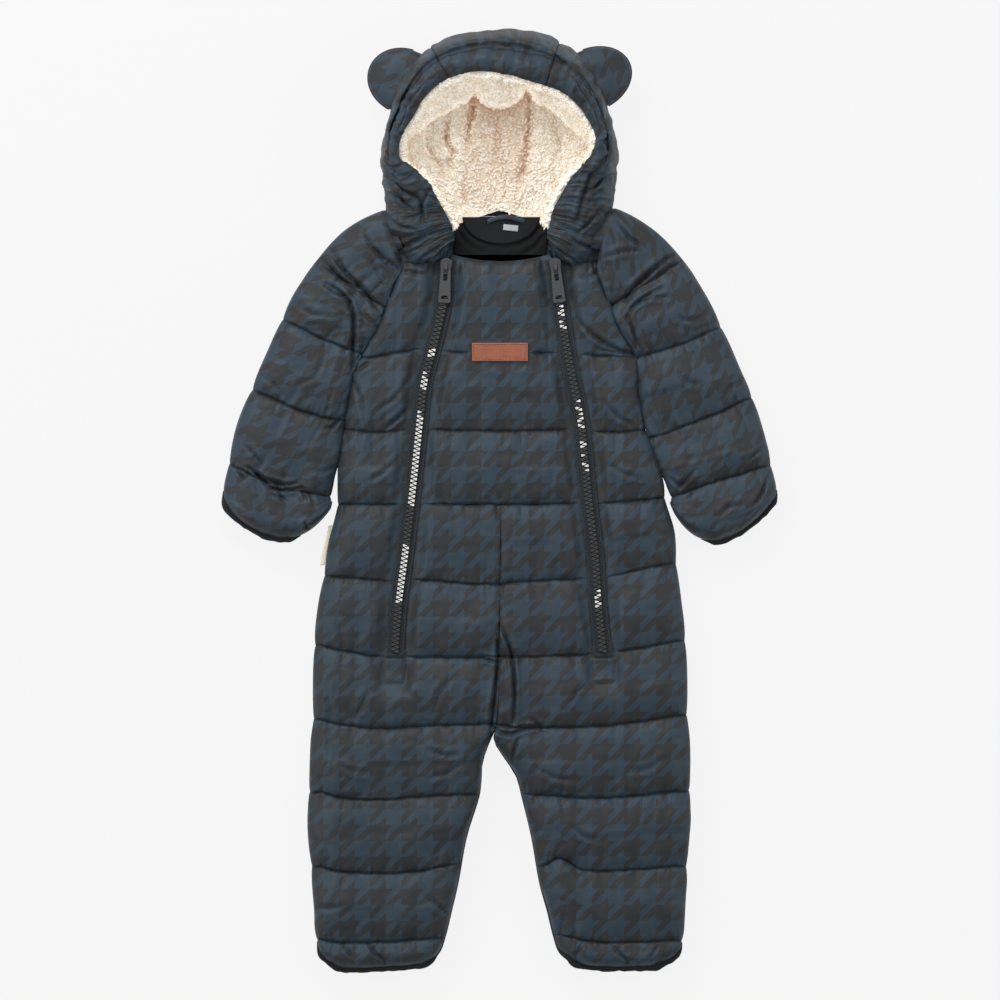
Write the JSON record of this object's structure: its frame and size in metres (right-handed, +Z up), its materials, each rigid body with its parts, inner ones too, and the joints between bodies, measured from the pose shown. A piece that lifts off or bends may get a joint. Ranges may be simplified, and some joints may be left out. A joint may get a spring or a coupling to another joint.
{
  "type": "baby snowsuit laid flat",
  "caption": "Padded one-piece baby suit with quilted channels, raglan sleeves, a pile-lined hood with ears and a zip down each side of the bib, laid flat on its back.",
  "frame": {"origin": "middle of the garment in plan, on the surface that its back lies on", "axes": "+Z up from the surface, +Y towards the hood, +X towards the wearer's left, which is the right of the picture"},
  "size_m": [0.47, 0.799, 0.085],
  "materials": {
    "shell": "matt woven polyester, dark blue and charcoal houndstooth print, padded",
    "pile": "curly cream pile",
    "binding": "black stretch binding",
    "facing": "black woven lining",
    "white_label": "white woven tape",
    "cream_label": "cream woven tape",
    "leather": "smooth brown leather, stitched edge",
    "zip_tape": "dark woven zip tape",
    "zip_teeth": "dark moulded teeth, glossy",
    "zip_metal": "grey painted metal, satin"
  },
  "bodies": {
    "suit": {"back_body": "shell", "back_leg_right": "shell", "back_leg_left": "shell", "bib": "shell", "side_front_right": "shell", "side_front_left": "shell", "leg_front_right": "shell", "leg_front_left": "shell", "sleeve_front_right": "shell", "sleeve_front_left": "shell", "sleeve_back_right": "shell", "sleeve_back_left": "shell", "hood_crown": "shell", "hood_side_right": "shell", "hood_side_left": "shell", "ear_front_right": "shell", "ear_back_right": "shell", "ear_front_left": "shell", "ear_back_left": "shell", "hanger_loop": "shell", "lining_crown": "pile", "lining_side_right": "pile", "lining_side_left": "pile", "cuff_binding_right": "binding", "cuff_binding_left": "binding", "hem_binding_right": "binding", "hem_binding_left": "binding", "neck_facing": "facing", "neck_half_moon": "facing", "size_label": "white_label", "side_label": "cream_label", "front_patch": "leather", "zip_tape_right": "zip_tape", "zip_chain_right": "zip_teeth", "zip_slider_right": "zip_metal", "zip_tape_left": "zip_tape", "zip_chain_left": "zip_teeth", "zip_slider_left": "zip_metal"},
    "pull_right": {"zip_pull_right": "zip_metal"},
    "pull_left": {"zip_pull_left": "zip_metal"}
  },
  "joints": [
    {"name": "pull_right_hinge", "type": "hinge", "parent": "suit", "child": "pull_right", "pos_m": [-0.04582, 0.1985, 0.0351], "axis": [-0.9986, 0.0522, 0], "range_deg": [0, 100]},
    {"name": "pull_left_hinge", "type": "hinge", "parent": "suit", "child": "pull_left", "pos_m": [0.04711, 0.1985, 0.0351], "axis": [-0.994, -0.1096, 0], "range_deg": [0, 100]}
  ]
}
